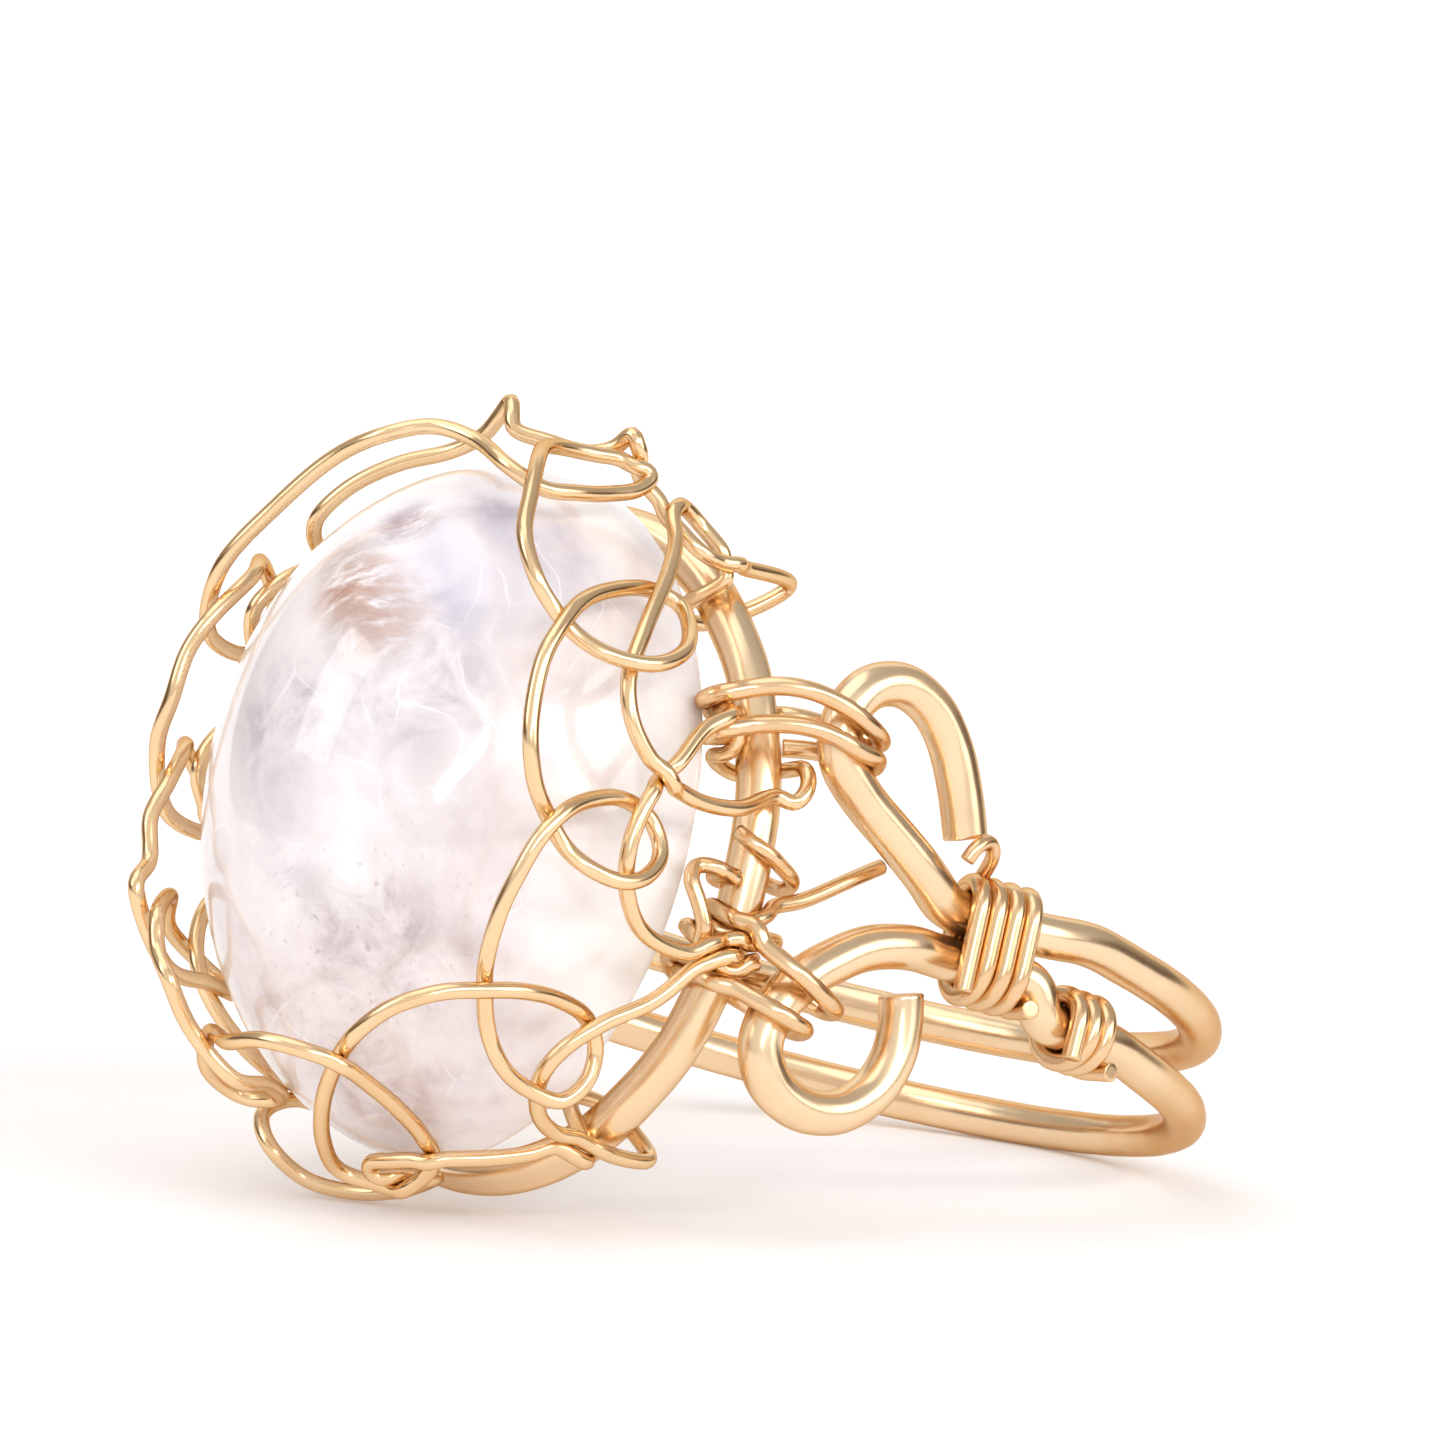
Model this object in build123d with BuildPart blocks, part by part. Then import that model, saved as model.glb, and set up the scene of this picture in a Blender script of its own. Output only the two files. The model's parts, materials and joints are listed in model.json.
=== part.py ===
from build123d import *
from math import cos, degrees, pi, radians, sin, tan
import os

# A wire-wrapped ring: an oval moonstone dome in a looped-wire basket on an oval
# frame, carried by a shank of two parallel wires. Sizes in millimetres.

# ---------------------------------------------------------------- driving sizes
HEAVY = 1.02            # frame and shank wire
WRAP = 0.42             # coils and bindings
NET = 0.34              # basket wire
GAP = 0.03              # clearance between neighbouring wires

HOLE = 19.0             # finger hole, inside diameter
STRAND_STEP = 2.08      # spacing of the two shank wires behind the shoulders
SHOULDER_STEP = 1.08    # spacing of the two shank wires inside a coil

FRAME_A, FRAME_B = 7.53, 5.71       # half sizes of the frame's centre line
FRAME_RISE = 0.75                   # frame plane above the shank's centre line

STONE_A, STONE_B = 7.95, 5.70       # half sizes of the stone's girdle
STONE_SHIFT_F, STONE_SHIFT_T = -0.29, -0.62
STONE_SEAT = HEAVY / 2 + WRAP + 4 * GAP    # flat back of the stone above the frame plane
STONE_FOOT = 0.45                   # bevel under the girdle
STONE_TALL = 7.50                   # back to crown

COIL_ANGLE = 60.0       # where the shoulder coils sit, from the head's middle
COIL_TURNS, COIL_PITCH = 4, 0.45
NECK_ANGLE, NECK_TURNS = 75.5, 3

# ------------------------------------------------------------------ rest stance
# The ring lies on its side. Local x is the finger axis F, local y runs across
# the finger to the near shoulder T, local z leaves the finger through the stone
# N. The local origin is the middle of the frame.
FINGER_AXIS = (-0.13618, -0.24215, -0.96063)
HEAD_AXIS = (-0.56961, -0.77422, 0.27591)
LIFT = (-3.686, -4.786, 8.101)
stance = Plane(origin=LIFT, x_dir=FINGER_AXIS, z_dir=HEAD_AXIS)

SHANK_R = HOLE / 2 + HEAVY / 2
SHANK_N = -(SHANK_R + FRAME_RISE)


def place(f, t, n):
    """A local point (F, T, N) where the resting ring has it."""
    return stance.from_local_coords(Vector(f, t, n))


def radii(points, closed=False, share=0.45, held=None):
    """Largest arcs that the runs beside each corner leave room for.

    held gives, by corner number, how far from that corner an arc may start.
    """
    held = held or {}
    count = len(points)
    corners = range(count) if closed else range(1, count - 1)
    sizes = []
    for i in corners:
        before = points[i] - points[i - 1]
        after = points[(i + 1) % count] - points[i]
        half = radians(before.get_angle(after)) / 2
        room = min(share * min(before.length, after.length), held.get(i, 99.0))
        sizes.append(room / tan(half))
    return sizes


# ------------------------------------------------------------------- shank line
# middle of the two wires along the finger axis, by angle from the head
SHANK_DRIFT = (  # angle, drift along F
    (94.0, 0.93),
    (108.0, 1.10),
    (124.0, 1.22),
    (140.0, 1.24),
    (156.0, 1.16),
    (172.0, 1.00),
    (188.0, 0.80),
    (204.0, 0.60),
    (220.0, 0.40),
    (236.0, 0.22),
    (252.0, 0.08),
    (266.0, 0.00),
)
NEAR_DRIFT, FAR_DRIFT = 0.31, -0.20     # drift where the shoulder coils sit
COIL_RUN = 1.30         # half length of the straight that a coil is wound on
NECK_RUN = 1.15         # the same for the small coil
NECK_DRIFT = 0.32       # how much further down the finger the small coil sits
HOLD = 0.42             # arcs beside a coil start this near to their corner


def on_shank(angle, f, lift=0.0):
    reach = SHANK_R + lift
    return place(f, reach * sin(radians(angle)), SHANK_N + reach * cos(radians(angle)))


def direction(f, t, n):
    return (place(f, t, n) - place(0, 0, 0)).normalized()


def tangent_at(angle, side):
    """Along the shank from the head down that side of the finger."""
    a = radians(angle)
    return direction(0, side * cos(a), -sin(a))


def outward_at(angle, side):
    a = radians(angle)
    return direction(0, side * sin(a), cos(a))


def side_angle(angle, side):
    return angle if side > 0 else 360 - angle


def side_drift(side):
    return NEAR_DRIFT if side > 0 else FAR_DRIFT


def coil_axis(side, wire, along):
    """A point of a wire inside the shoulder coil; wire is -1 upper, +1 lower."""
    middle = on_shank(
        side_angle(COIL_ANGLE, side), side_drift(side) + wire * SHOULDER_STEP / 2
    )
    return middle + tangent_at(COIL_ANGLE, side) * along


def neck_axis(side, wire, along):
    """A point of a wire beside the small coil."""
    middle = on_shank(
        side_angle(NECK_ANGLE, side),
        side_drift(side) + NECK_DRIFT + wire * STRAND_STEP / 2,
    )
    return middle + tangent_at(NECK_ANGLE, side) * along


def neck_reaches(wire):
    """The lower wire runs straight through its small coil; the upper one bends by."""
    return (-NECK_RUN, NECK_RUN) if wire > 0 else (0.0,)


def shank_run(wire):
    """Points of one wire from the near shoulder coil to the far one."""
    reaches = neck_reaches(wire)
    out = [coil_axis(1, wire, -COIL_RUN), coil_axis(1, wire, COIL_RUN)]
    out += [neck_axis(1, wire, along) for along in reaches]
    for angle, drift in SHANK_DRIFT:
        out.append(on_shank(angle, drift + wire * STRAND_STEP / 2))
    out += [neck_axis(-1, wire, -along) for along in reaches]
    out += [coil_axis(-1, wire, COIL_RUN), coil_axis(-1, wire, -COIL_RUN)]
    return out


# Each shoulder is a slope from the coil up to the side of the frame. A point on
# it is (F, climb), climb measured from the coil towards the frame.
SLOPE_T, SLOPE_N = -0.311, 0.950
COIL_T = SHANK_R * sin(radians(COIL_ANGLE))
COIL_N = SHANK_N + SHANK_R * cos(radians(COIL_ANGLE))


def on_slope(side, f, climb, lift=0.0):
    t = COIL_T + climb * SLOPE_T + lift * SLOPE_N
    n = COIL_N + climb * SLOPE_N - lift * SLOPE_T
    return place(f, side * t, n)


TEARDROP = (  # F, climb: upper wire, from the coil round to its tucked end
    (-0.72, 2.15),
    (-1.30, 3.15),
    (-1.95, 4.40),
    (-2.65, 5.30),
    (-3.62, 5.42),
    (-4.48, 4.85),
    (-4.80, 3.85),
    (-4.45, 2.85),
    (-3.70, 2.15),
    (-2.75, 1.65),
    (-1.85, 1.30),
)
SCROLL = (  # F, climb: lower wire, from the coil round to its free end
    (0.88, 2.30),
    (1.20, 3.60),
    (2.22, 5.08),
    (3.16, 5.80),
    (4.05, 6.00),
    (4.80, 5.50),
    (5.15, 4.50),
    (4.97, 3.40),
    (4.20, 2.48),
    (3.20, 2.10),
    (2.25, 2.20),
    (1.98, 2.30),
)
FAR_SHIFT = -0.51       # the far shoulder sits a little further up the finger


def shoulder_run(table, side):
    shift = 0.0 if side > 0 else FAR_SHIFT
    return [on_slope(side, f + shift, climb) for f, climb in table]


upper_points = (
    list(reversed(shoulder_run(TEARDROP, 1)))
    + shank_run(-1)
    + shoulder_run(TEARDROP, -1)
)
lower_points = (
    list(reversed(shoulder_run(SCROLL, 1))) + shank_run(1) + shoulder_run(SCROLL, -1)
)


def held_corners(table, wire):
    """The corners beside the coils, which keep their arcs short."""
    straight = 4 if wire > 0 else 2
    first = len(table)
    last = first + len(shank_run(wire)) - 1
    near = range(first, first + straight)
    far = range(last - straight + 1, last + 1)
    return {i: HOLD for i in (*near, *far)}


upper_radii = radii(upper_points, held=held_corners(TEARDROP, -1))
lower_radii = radii(lower_points, held=held_corners(SCROLL, 1))

with BuildPart() as upper_strand:
    with BuildLine() as upper_route:
        FilletPolyline(*upper_points, radius=upper_radii)
    with BuildSketch(
        Plane(origin=upper_route.line @ 0, z_dir=upper_route.line % 0)
    ):
        Circle(HEAVY / 2)
    sweep()
upper_strand.part.label = "upper_strand"

with BuildPart() as lower_strand:
    with BuildLine() as lower_route:
        FilletPolyline(*lower_points, radius=lower_radii)
    with BuildSketch(
        Plane(origin=lower_route.line @ 0, z_dir=lower_route.line % 0)
    ):
        Circle(HEAVY / 2)
    sweep()
lower_strand.part.label = "lower_strand"

# ------------------------------------------------------------------- base frame
FRAME_POINTS = 20
frame_points = [
    place(
        1.012 * FRAME_A * cos(2 * pi * i / FRAME_POINTS),
        1.012 * FRAME_B * sin(2 * pi * i / FRAME_POINTS),
        0,
    )
    for i in range(FRAME_POINTS)
]
with BuildPart() as base_frame:
    with BuildLine() as frame_route:
        FilletPolyline(
            *frame_points, radius=radii(frame_points, closed=True), close=True
        )
    with BuildSketch(
        Plane(origin=frame_route.line @ 0, z_dir=frame_route.line % 0)
    ):
        Circle(HEAVY / 2)
    sweep()
base_frame.part.label = "base_frame"

# -------------------------------------------------------------------- moonstone
with BuildPart() as stone_blank:
    with BuildSketch(Plane.XZ):
        with BuildLine():
            Polyline(
                (0, STONE_TALL), (0, 0), (STONE_A - 0.5, 0), (STONE_A, STONE_FOOT)
            )
            EllipticalCenterArc(
                (0, STONE_FOOT), STONE_A, STONE_TALL - STONE_FOOT, 0, arc_size=90
            )
        make_face()
    revolve(axis=Axis.Z)
dome = scale(stone_blank.part, by=(1, STONE_B / STONE_A, 1))
with BuildPart() as moonstone:
    add(
        stance.location
        * Location((STONE_SHIFT_F, STONE_SHIFT_T, STONE_SEAT))
        * dome
    )
moonstone.part.label = "moonstone"


# ------------------------------------------------------------ coils and bindings
CORNERS = ((1, 1), (-1, 1), (-1, -1), (1, -1))


def winding(first, second, across, stack, turns, pitch, slack=(GAP, GAP)):
    """Corner points of a flat-sided helix round two wires side by side.

    first and second give a wire's middle at each advance; across joins the two
    and stack is square to it; slack is the clearance at the first and second.
    """
    points = []
    for k in range(4 * turns + 1):
        a, b = CORNERS[k % 4]
        advance = (k / 4 - turns / 2) * pitch
        wire = second(advance) if a > 0 else first(advance)
        keep = HEAVY / 2 + WRAP / 2 + slack[1 if a > 0 else 0]
        points.append(wire + across * (a * keep) + stack * (b * keep))
    return points


F_WAY = direction(1, 0, 0)


def coil_points(side):
    return winding(
        lambda s: coil_axis(side, -1, s), lambda s: coil_axis(side, 1, s),
        F_WAY, outward_at(COIL_ANGLE, side), COIL_TURNS, COIL_PITCH,
    )


def neck_points(side):
    return winding(
        lambda s: neck_axis(side, 1, s), lambda s: neck_axis(side, 1, s),
        F_WAY, outward_at(NECK_ANGLE, side), NECK_TURNS, COIL_PITCH,
    )


TIE_UPPER_F, TIE_UPPER_TURNS = -3.20, 2     # round frame and teardrop
TIE_LOWER_F, TIE_LOWER_TURNS = 3.30, 3      # round frame and scroll
TIE_SLACK = (0.12, 0.24)     # at the frame, at the shoulder wire


def climb_at(table, f):
    """How far up the slope the outer limb of a shoulder wire is, at one F."""
    top = max(range(len(table)), key=lambda i: table[i][1])
    for (f0, c0), (f1, c1) in zip(table[top - 2:top + 2], table[top - 1:top + 2]):
        if min(f0, f1) <= f <= max(f0, f1):
            return c0 + (f - f0) / (f1 - f0) * (c1 - c0)
    return table[top][1]


def on_frame(side, f):
    return place(f, side * FRAME_B * (1 - (f / FRAME_A) ** 2) ** 0.5, 0)


def tie_points(side, table, f, turns):
    """A binding round the frame and the outer limb of a shoulder wire."""
    shift = 0.0 if side > 0 else FAR_SHIFT

    def frame_wire(s):
        return on_frame(side, f + shift + s)

    def shoulder_wire(s):
        return on_slope(side, f + shift + s, climb_at(table, f + s))

    across = (shoulder_wire(0) - frame_wire(0)).normalized()
    stack = across.cross(frame_wire(0.5) - frame_wire(-0.5)).normalized()
    return winding(
        frame_wire, shoulder_wire, across, stack, turns, COIL_PITCH, TIE_SLACK
    )


WINDINGS = {
    "coil_near": coil_points(1),
    "coil_far": coil_points(-1),
    "neck_coil_near": neck_points(1),
    "neck_coil_far": neck_points(-1),
    "upper_tie_near": tie_points(1, TEARDROP, TIE_UPPER_F, TIE_UPPER_TURNS),
    "upper_tie_far": tie_points(-1, TEARDROP, TIE_UPPER_F, TIE_UPPER_TURNS),
    "lower_tie_near": tie_points(1, SCROLL, TIE_LOWER_F, TIE_LOWER_TURNS),
    "lower_tie_far": tie_points(-1, SCROLL, TIE_LOWER_F, TIE_LOWER_TURNS),
}
wound = {}
for name, points in WINDINGS.items():
    with BuildPart() as winding_part:
        with BuildLine() as winding_route:
            FilletPolyline(*points, radius=radii(points, share=0.47))
        with BuildSketch(
            Plane(origin=winding_route.line @ 0, z_dir=winding_route.line % 0)
        ):
            Circle(WRAP / 2)
        sweep()
    winding_part.part.label = name
    wound[name] = winding_part.part

# -------------------------------------------------------------- looped-wire net
# The basket's wall: half sizes and drift of its outline at each height over the
# frame plane.
WALL = (  # height, half F, half T, drift F, drift T
    (-1.2, 8.28, 6.46, -0.06, -0.06),
    (0.0, 8.36, 6.58, -0.08, -0.08),
    (2.5, 8.44, 6.62, -0.17, -0.27),
    (5.0, 8.00, 6.15, -0.30, -0.34),
    (6.8, 7.35, 5.45, -0.40, -0.34),
    (8.4, 6.75, 4.90, -0.45, -0.32),
)


def wall_at(height):
    for low, high in zip(WALL, WALL[1:]):
        if height <= high[0] or high is WALL[-1]:
            break
    k = (height - low[0]) / (high[0] - low[0])
    return [a + k * (b - a) for a, b in zip(low, high)][1:]


def on_wall(deg, height, out=0.0, run=0.0):
    """A point of the basket wall, by turn angle from +F towards +T.

    out stands off the wall; run moves along it in the way the stitches go.
    """
    half_f, half_t, drift_f, drift_t = wall_at(height)
    a = radians(deg)
    a -= run / ((half_f * sin(a)) ** 2 + (half_t * cos(a)) ** 2) ** 0.5
    return place(
        drift_f + (half_f + out) * cos(a), drift_t + (half_t + out) * sin(a), height
    )


def round_frame(deg, e, n, run=0.0):
    """A point beside the frame wire: e outward of it, n over it."""
    a = radians(deg)
    a -= run / ((FRAME_A * sin(a)) ** 2 + (FRAME_B * cos(a)) ** 2) ** 0.5
    normal = Vector(cos(a) / FRAME_A, sin(a) / FRAME_B, 0).normalized()
    return place(
        FRAME_A * cos(a) + e * normal.X, FRAME_B * sin(a) + e * normal.Y, n
    )


BASE_ROW = (  # foot angle, reach, drop; crown angle, height, stand-off
    (143.0, 1.30, 3.00, 115.0, 5.05, 0.00),
    (104.0, 1.45, 1.20, 84.0, 4.45, 0.00),
    (77.0, 1.02, 1.00, 48.0, 3.90, 0.00),
    (34.0, 1.10, 1.40, 17.0, 3.40, 0.00),
    (6.0, 1.18, 1.00, -23.0, 1.00, 0.95),
    (-40.0, 1.02, 1.00, -56.0, 4.20, 0.00),
    (-80.0, 1.02, 1.00, -92.0, 4.40, 0.00),
    (-106.0, 1.02, 1.00, -121.0, 4.50, 0.00),
    (-134.0, 1.02, 1.00, -178.0, 4.15, 0.00),
    (-194.0, 1.02, 1.00, -206.0, 4.40, 0.00),
)
FOOT = HEAVY / 2 + NET / 2 + GAP     # foot turn, frame middle to net wire middle
INSIDE_TURN = (  # run, outward, height: the foot turn inside and over the frame
    (-0.08, -1.00, -1.00),
    (0.08, -1.00, 1.00),
    (0.24, 1.18, 1.03),
)
CROWN_ARC = (  # share of the way from foot to crown, level, part of the stand-off
    (0.20, 0.36, 0.10),
    (0.56, 0.84, 0.27),
)
CROWN_START = 1.0       # height over the frame plane where the arcs leave the feet
RIM_ROW = (  # loop angle, crossing height, low end, half width, next arc height
    (115.0, 6.75, 3.30, 0.98, 7.70),
    (84.0, 6.70, 3.20, 0.90, 7.30),
    (48.0, 6.30, 2.90, 1.00, 7.35),
    (16.0, 6.70, 2.40, 1.00, 7.75),
    (-20.0, 6.90, 3.60, 0.85, 8.20),
    (-55.0, 6.70, 3.10, 0.90, 7.90),
    (-92.0, 6.30, 3.10, 0.90, 7.10),
    (-121.0, 6.30, 3.20, 0.90, 7.05),
    (-178.0, 5.90, 3.10, 0.80, 6.20),
    (-206.0, 5.90, 3.00, 0.70, 7.45),
)
STITCH = (  # run in half widths, height over the low end in loop heights, stand-off
    (-0.50, 1.07, -0.20),
    (0.85, 0.72, -0.16),
    (1.00, 0.36, 0.40),
    (0.50, 0.00, 0.32),
    (-0.50, 0.00, -0.30),
    (-1.00, 0.36, -0.40),
    (-0.85, 0.72, 0.14),
    (0.50, 1.07, 0.26),
)

base_points = []
for i, (foot, reach, drop, crown, high, out) in enumerate(BASE_ROW):
    end = BASE_ROW[(i + 1) % len(BASE_ROW)][0]
    if end > foot:
        end -= 360
    for run, e, n in ((-0.24, reach, -drop), *INSIDE_TURN):
        base_points.append(round_frame(foot, e * FOOT, n * FOOT, run))
    rise = high - CROWN_START
    for share, level, part in CROWN_ARC:
        deg = foot + (crown - foot) * share
        base_points.append(on_wall(deg, CROWN_START + rise * level, out * part))
    base_points.append(on_wall(crown, high, out))
    for share, level, part in reversed(CROWN_ARC):
        deg = end + (crown - end) * share
        base_points.append(on_wall(deg, CROWN_START + rise * level, out * part))
base_points.pop()
base_points = base_points[1:]

rim_points = [on_wall(134.0, RIM_ROW[-1][4], 0)]
for i, (loop, cross, low, half, high) in enumerate(RIM_ROW):
    following = RIM_ROW[(i + 1) % len(RIM_ROW)][0]
    if following > loop:
        following -= 360
    for run, level, out in STITCH:
        rim_points.append(on_wall(loop, low + (cross - low) * level, out, run * half))
    for share in (0.36, 0.64):
        rim_points.append(on_wall(loop + (following - loop) * share, high, 0))
rim_points.pop()

with BuildPart() as net_base_row:
    with BuildLine() as base_route:
        FilletPolyline(*base_points, radius=radii(base_points))
    with BuildSketch(Plane(origin=base_route.line @ 0, z_dir=base_route.line % 0)):
        Circle(NET / 2)
    sweep()
net_base_row.part.label = "net_base_row"

with BuildPart() as net_rim_row:
    with BuildLine() as rim_route:
        FilletPolyline(*rim_points, radius=radii(rim_points))
    with BuildSketch(Plane(origin=rim_route.line @ 0, z_dir=rim_route.line % 0)):
        Circle(NET / 2)
    sweep()
net_rim_row.part.label = "net_rim_row"

# ---------------------------------------------------------------------- hand-in
os.makedirs("parts", exist_ok=True)
export_step(moonstone.part, "parts/moonstone.step")
export_step(base_frame.part, "parts/base_frame.step")
export_step(upper_strand.part, "parts/upper_strand.step")
export_step(lower_strand.part, "parts/lower_strand.step")
export_step(net_base_row.part, "parts/net_base_row.step")
export_step(net_rim_row.part, "parts/net_rim_row.step")
for name, solid in wound.items():
    export_step(solid, f"parts/{name}.step")
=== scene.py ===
import json
import math

import bpy
import numpy as np
from mathutils import Matrix, Quaternion, Vector

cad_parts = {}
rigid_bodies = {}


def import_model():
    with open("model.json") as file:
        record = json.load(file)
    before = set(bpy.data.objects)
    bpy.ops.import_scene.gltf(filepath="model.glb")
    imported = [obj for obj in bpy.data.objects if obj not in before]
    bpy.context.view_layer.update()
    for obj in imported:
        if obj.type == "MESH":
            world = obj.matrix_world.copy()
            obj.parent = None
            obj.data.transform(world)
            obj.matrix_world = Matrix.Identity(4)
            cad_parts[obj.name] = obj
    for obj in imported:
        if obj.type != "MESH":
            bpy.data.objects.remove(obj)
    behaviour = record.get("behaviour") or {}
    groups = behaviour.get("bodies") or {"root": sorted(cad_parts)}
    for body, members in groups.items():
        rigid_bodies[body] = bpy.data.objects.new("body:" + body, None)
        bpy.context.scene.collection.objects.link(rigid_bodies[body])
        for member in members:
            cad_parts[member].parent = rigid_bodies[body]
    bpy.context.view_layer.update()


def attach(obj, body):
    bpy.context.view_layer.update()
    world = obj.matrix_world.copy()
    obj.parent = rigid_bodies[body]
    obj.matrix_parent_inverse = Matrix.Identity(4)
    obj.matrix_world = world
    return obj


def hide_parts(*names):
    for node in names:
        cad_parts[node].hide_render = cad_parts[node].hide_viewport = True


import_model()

# ---------------------------------------------------------------- ring's own frame
# millimetres: F along the finger, T across it to the near shoulder, N out through
# the stone; the origin is the middle of the oval frame
ORIGIN = np.array([-3.686, -4.786, 8.101])
F_AXIS = np.array([-0.13618, -0.24215, -0.96063])
N_AXIS = np.array([-0.56961, -0.77422, 0.27591])
T_AXIS = np.cross(N_AXIS, F_AXIS)
AXES = np.stack([F_AXIS, T_AXIS, N_AXIS])

HEAVY, WRAP, NET, GAP = 1.02, 0.42, 0.34, 0.03
NET_SEEN = 0.365  # the basket wire with its slight flattening
HOLE, STRAND_STEP, SHOULDER_STEP = 19.0, 2.08, 1.08
FRAME_A, FRAME_B, FRAME_RISE = 7.53, 5.71, 0.75
STONE_A, STONE_B = 7.95, 5.70
STONE_SHIFT_F, STONE_SHIFT_T = -0.29, -0.62
STONE_SEAT = HEAVY / 2 + WRAP + 4 * GAP
STONE_FOOT, STONE_TALL = 0.45, 7.50
SHANK_R = HOLE / 2 + HEAVY / 2
SHANK_N = -(SHANK_R + FRAME_RISE)


def world(points):
    """Ring-frame millimetres to world metres."""
    return (ORIGIN + np.asarray(points, float) @ AXES) / 1000.0


def unit(v):
    v = np.asarray(v, float)
    return v / np.linalg.norm(v)


# ---------------------------------------------------------------- wire paths
def rounded(points, share=0.45, held=None, closed=False, step=0.03):
    """Straight runs joined by the largest arcs that fit, as dense points."""
    pts = [np.asarray(p, float) for p in points]
    n = len(pts)
    held = held or {}
    out = [] if closed else [pts[0]]
    for i in range(n) if closed else range(1, n - 1):
        p, a, b = pts[i], pts[i - 1], pts[(i + 1) % n]
        u, v = a - p, b - p
        lu, lv = np.linalg.norm(u), np.linalg.norm(v)
        room = min(share * min(lu, lv), held.get(i, 99.0))
        p0, p2 = p + u / lu * room, p + v / lv * room
        t = np.linspace(0, 1, 14)[:, None]
        # a rational quadratic with the arc's weight is the arc itself
        w = math.sqrt(max(0.0, (1 - float(u @ v) / lu / lv) / 2))
        c0, c1, c2 = (1 - t) ** 2, 2 * w * t * (1 - t), t**2
        out.extend((c0 * p0 + c1 * p + c2 * p2) / (c0 + c1 + c2))
    if not closed:
        out.append(pts[-1])
    return np.array(out)


def resample(path, step, closed=False):
    if closed:
        path = np.vstack([path, path[:1]])
    seg = np.linalg.norm(np.diff(path, axis=0), axis=1)
    keep = np.concatenate([[True], seg > 1e-7])
    path = path[keep]
    s = np.concatenate([[0], np.cumsum(np.linalg.norm(np.diff(path, axis=0), axis=1))])
    count = max(8, int(round(s[-1] / step)))
    at = np.linspace(0, s[-1], count + 1)
    if closed:
        at = at[:-1]
    return np.stack([np.interp(at, s, path[:, k]) for k in range(3)], 1)


def soften(path, sigma, step, closed=False):
    """A Gaussian along the wire that keeps its two ends."""
    r = max(1, int(3 * sigma / step))
    k = np.exp(-0.5 * (np.arange(-r, r + 1) * step / sigma) ** 2)
    k /= k.sum()
    if closed:
        padded = np.vstack([path[-r:], path, path[:r]])
    else:
        head = 2 * path[0] - path[1 : r + 1][::-1]
        tail = 2 * path[-1] - path[-r - 1 : -1][::-1]
        padded = np.vstack([head, path, tail])
    return np.stack([np.convolve(padded[:, c], k, "valid") for c in range(3)], 1)


def hand(path, amount, reach, seed, closed=False):
    """A slow, small wander, as in wire bent by hand."""
    rng = np.random.default_rng(seed)
    s = np.concatenate([[0], np.cumsum(np.linalg.norm(np.diff(path, axis=0), axis=1))])
    total = s[-1] + 1e-9
    out = path.copy()
    for c in range(3):
        shift = np.zeros(len(path))
        for h in range(4):
            waves = max(1, round(total / reach * (0.5 + 0.5 * h)))
            shift += np.sin(2 * math.pi * waves * s / total + rng.uniform(0, 6.28)) * rng.normal(0, 0.5)
        if not closed:
            fade = np.clip(np.minimum(s, total - s) / (0.5 * reach), 0, 1)
            shift *= fade
        out[:, c] += amount * shift
    return out


def wire_path(points, sigma=0.12, step=0.08, wander=0.0, reach=3.0, seed=1, share=0.45, held=None, closed=False):
    fine = step / 2
    path = resample(rounded(points, share, held, closed), fine, closed)
    path = soften(path, sigma, fine, closed)
    if wander:
        path = hand(path, wander, reach, seed, closed)
    return resample(path, step, closed)


def smooth_through(points, step=0.08, closed=False):
    """A Catmull-Rom curve through every point, softened."""
    p = np.asarray(points, float)
    n = len(p)
    out = []
    last = n if closed else n - 1
    for i in range(last):
        if closed:
            q = [p[(i + k) % n] for k in (-1, 0, 1, 2)]
        else:
            q = [p[max(0, i - 1)], p[i], p[i + 1], p[min(n - 1, i + 2)]]
        t = [0.0]
        for a, b in zip(q, q[1:]):
            t.append(t[-1] + max(1e-4, np.linalg.norm(b - a)) ** 0.5)
        x = np.linspace(t[1], t[2], 12, endpoint=False)[:, None]
        a1 = (t[1] - x) / (t[1] - t[0]) * q[0] + (x - t[0]) / (t[1] - t[0]) * q[1]
        a2 = (t[2] - x) / (t[2] - t[1]) * q[1] + (x - t[1]) / (t[2] - t[1]) * q[2]
        a3 = (t[3] - x) / (t[3] - t[2]) * q[2] + (x - t[2]) / (t[3] - t[2]) * q[3]
        b1 = (t[2] - x) / (t[2] - t[0]) * a1 + (x - t[0]) / (t[2] - t[0]) * a2
        b2 = (t[3] - x) / (t[3] - t[1]) * a2 + (x - t[1]) / (t[3] - t[1]) * a3
        out.append((t[2] - x) / (t[2] - t[1]) * b1 + (x - t[1]) / (t[2] - t[1]) * b2)
    if not closed:
        out.append(p[-1:])
    path = resample(np.vstack(out), step / 2, closed)
    return resample(soften(path, 0.10, step / 2, closed), step, closed)


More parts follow.
